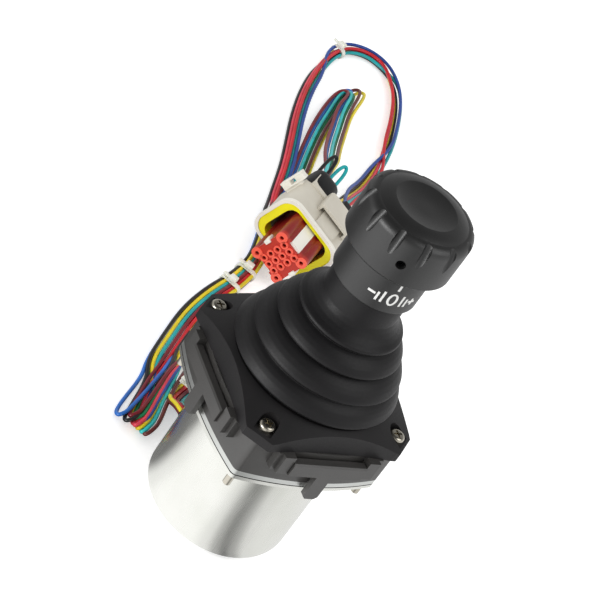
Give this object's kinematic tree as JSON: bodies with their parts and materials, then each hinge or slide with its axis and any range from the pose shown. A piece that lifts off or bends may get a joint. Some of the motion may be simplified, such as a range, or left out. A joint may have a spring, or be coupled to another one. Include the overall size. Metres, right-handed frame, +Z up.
{
  "type": "industrial joystick",
  "caption": "Panel joystick with a twisting fluted knob, rubber bellows, square bezel, snap latches, round metal can and a loose wire harness with a multi-way connector",
  "frame": {"origin": "centre of the bottom of the object's box, under the can, on the stick's axis", "axes": "+Z up along the stick at rest; +X and +Y are square to the bezel's sides; the harness lies behind, towards +X +Y"},
  "size_m": [0.3069, 0.4253, 0.2092],
  "materials": {
    "zinc_steel": "bright zinc-plated drawn steel",
    "gasket_rubber": "thin black gasket sheet",
    "plate_steel": "plain steel plate",
    "housing_plastic": "moulded black, slightly grey where lit",
    "bezel_plastic": "fine matt black",
    "boot_rubber": "matt black moulded rubber",
    "knob_plastic": "matt charcoal",
    "screw_steel": "zinc-plated screws",
    "frame_aluminium": "machined",
    "bush_bronze": "sintered bearing bronze",
    "pin_steel": "ground steel",
    "spring_steel": "spring wire",
    "magnet_metal": "nickel-plated magnet",
    "inner_plastic": "glass-filled moulding",
    "board_laminate": "green circuit board",
    "cable_sheath": "black cable sheath",
    "wire_sheath": "bundle of coloured insulated wires",
    "sleeve_plastic": "black sleeve",
    "tie_nylon": "natural white nylon",
    "connector_body": "warm light grey moulding",
    "seal_yellow": "yellow seal",
    "insert_red": "orange-red moulding",
    "cover_black": "black cover"
  },
  "bodies": {
    "base": {"can": "zinc_steel", "can_gasket": "gasket_rubber", "flange_plate": "plate_steel", "mid_housing": "housing_plastic", "boot_bezel": "bezel_plastic", "bellows": "boot_rubber", "boot_clamp": "inner_plastic", "flange_screws": "screw_steel", "bearing_frame": "frame_aluminium", "frame_screws": "screw_steel", "frame_bushes": "bush_bronze", "spring_plate": "plate_steel", "centring_spring": "spring_steel", "circuit_board": "board_laminate", "board_pillars": "frame_aluminium", "board_screws": "screw_steel", "sensor_chips": "inner_plastic", "board_header": "inner_plastic", "board_cable": "cable_sheath", "cable_grommet": "cable_sheath", "harness_trunk": "wire_sheath", "harness_splice": "sleeve_plastic", "harness_loop": "wire_sheath", "harness_hairpin": "wire_sheath", "cable_tie_low": "tie_nylon", "cable_tie_near": "tie_nylon", "cable_tie_far": "tie_nylon", "cable_tie_top": "tie_nylon", "connector_housing": "connector_body", "connector_seal": "seal_yellow", "connector_insert": "insert_red", "connector_cover": "cover_black"},
    "yoke": {"gimbal_ring": "frame_aluminium", "ring_bushes": "bush_bronze", "ring_pins": "pin_steel"},
    "stick": {"stick_shaft": "pin_steel", "cross_pin": "pin_steel", "magnet_holder": "frame_aluminium", "magnet": "magnet_metal", "spring_cap": "plate_steel", "spring_clip": "plate_steel", "collar": "knob_plastic", "stop_pin": "pin_steel", "twist_sensor": "inner_plastic", "twist_spring": "spring_steel"},
    "knob_body": {"knob": "knob_plastic", "knob_grub_screw": "screw_steel", "sensor_shaft": "pin_steel"},
    "latch_a": {"latch_front": "housing_plastic"},
    "latch_b": {"latch_right": "housing_plastic"},
    "latch_c": {"latch_rear": "housing_plastic"},
    "latch_d": {"latch_left": "housing_plastic"}
  },
  "joints": [
    {"name": "tilt_x", "type": "hinge", "parent": "base", "child": "yoke", "pos_m": [0, 0, 0.08], "axis": [1, 0, 0], "range_deg": [-20, 20], "stiffness_Nm_per_rad": 3, "deforming": ["bellows", "centring_spring"]},
    {"name": "tilt_y", "type": "hinge", "parent": "yoke", "child": "stick", "pos_m": [0, 0, 0.08], "axis": [0, 1, 0], "range_deg": [-20, 20], "stiffness_Nm_per_rad": 3},
    {"name": "twist", "type": "hinge", "parent": "stick", "child": "knob_body", "pos_m": [0, 0, 0.195], "axis": [0, 0, 1], "range_deg": [-30, 30], "stiffness_Nm_per_rad": 0.15, "deforming": ["twist_spring"]},
    {"name": "latch_a_press", "type": "hinge", "parent": "base", "child": "latch_a", "pos_m": [0, -0.0466, 0.0844], "axis": [1, 0, 0], "range_deg": [0, 5], "stiffness_Nm_per_rad": 0.4},
    {"name": "latch_b_press", "type": "hinge", "parent": "base", "child": "latch_b", "pos_m": [0.0466, 0, 0.0844], "axis": [0, 1, 0], "range_deg": [0, 5], "stiffness_Nm_per_rad": 0.4},
    {"name": "latch_c_press", "type": "hinge", "parent": "base", "child": "latch_c", "pos_m": [0, 0.0466, 0.0844], "axis": [-1, 0, 0], "range_deg": [0, 5], "stiffness_Nm_per_rad": 0.4},
    {"name": "latch_d_press", "type": "hinge", "parent": "base", "child": "latch_d", "pos_m": [-0.0466, 0, 0.0844], "axis": [0, -1, 0], "range_deg": [0, 5], "stiffness_Nm_per_rad": 0.4}
  ]
}
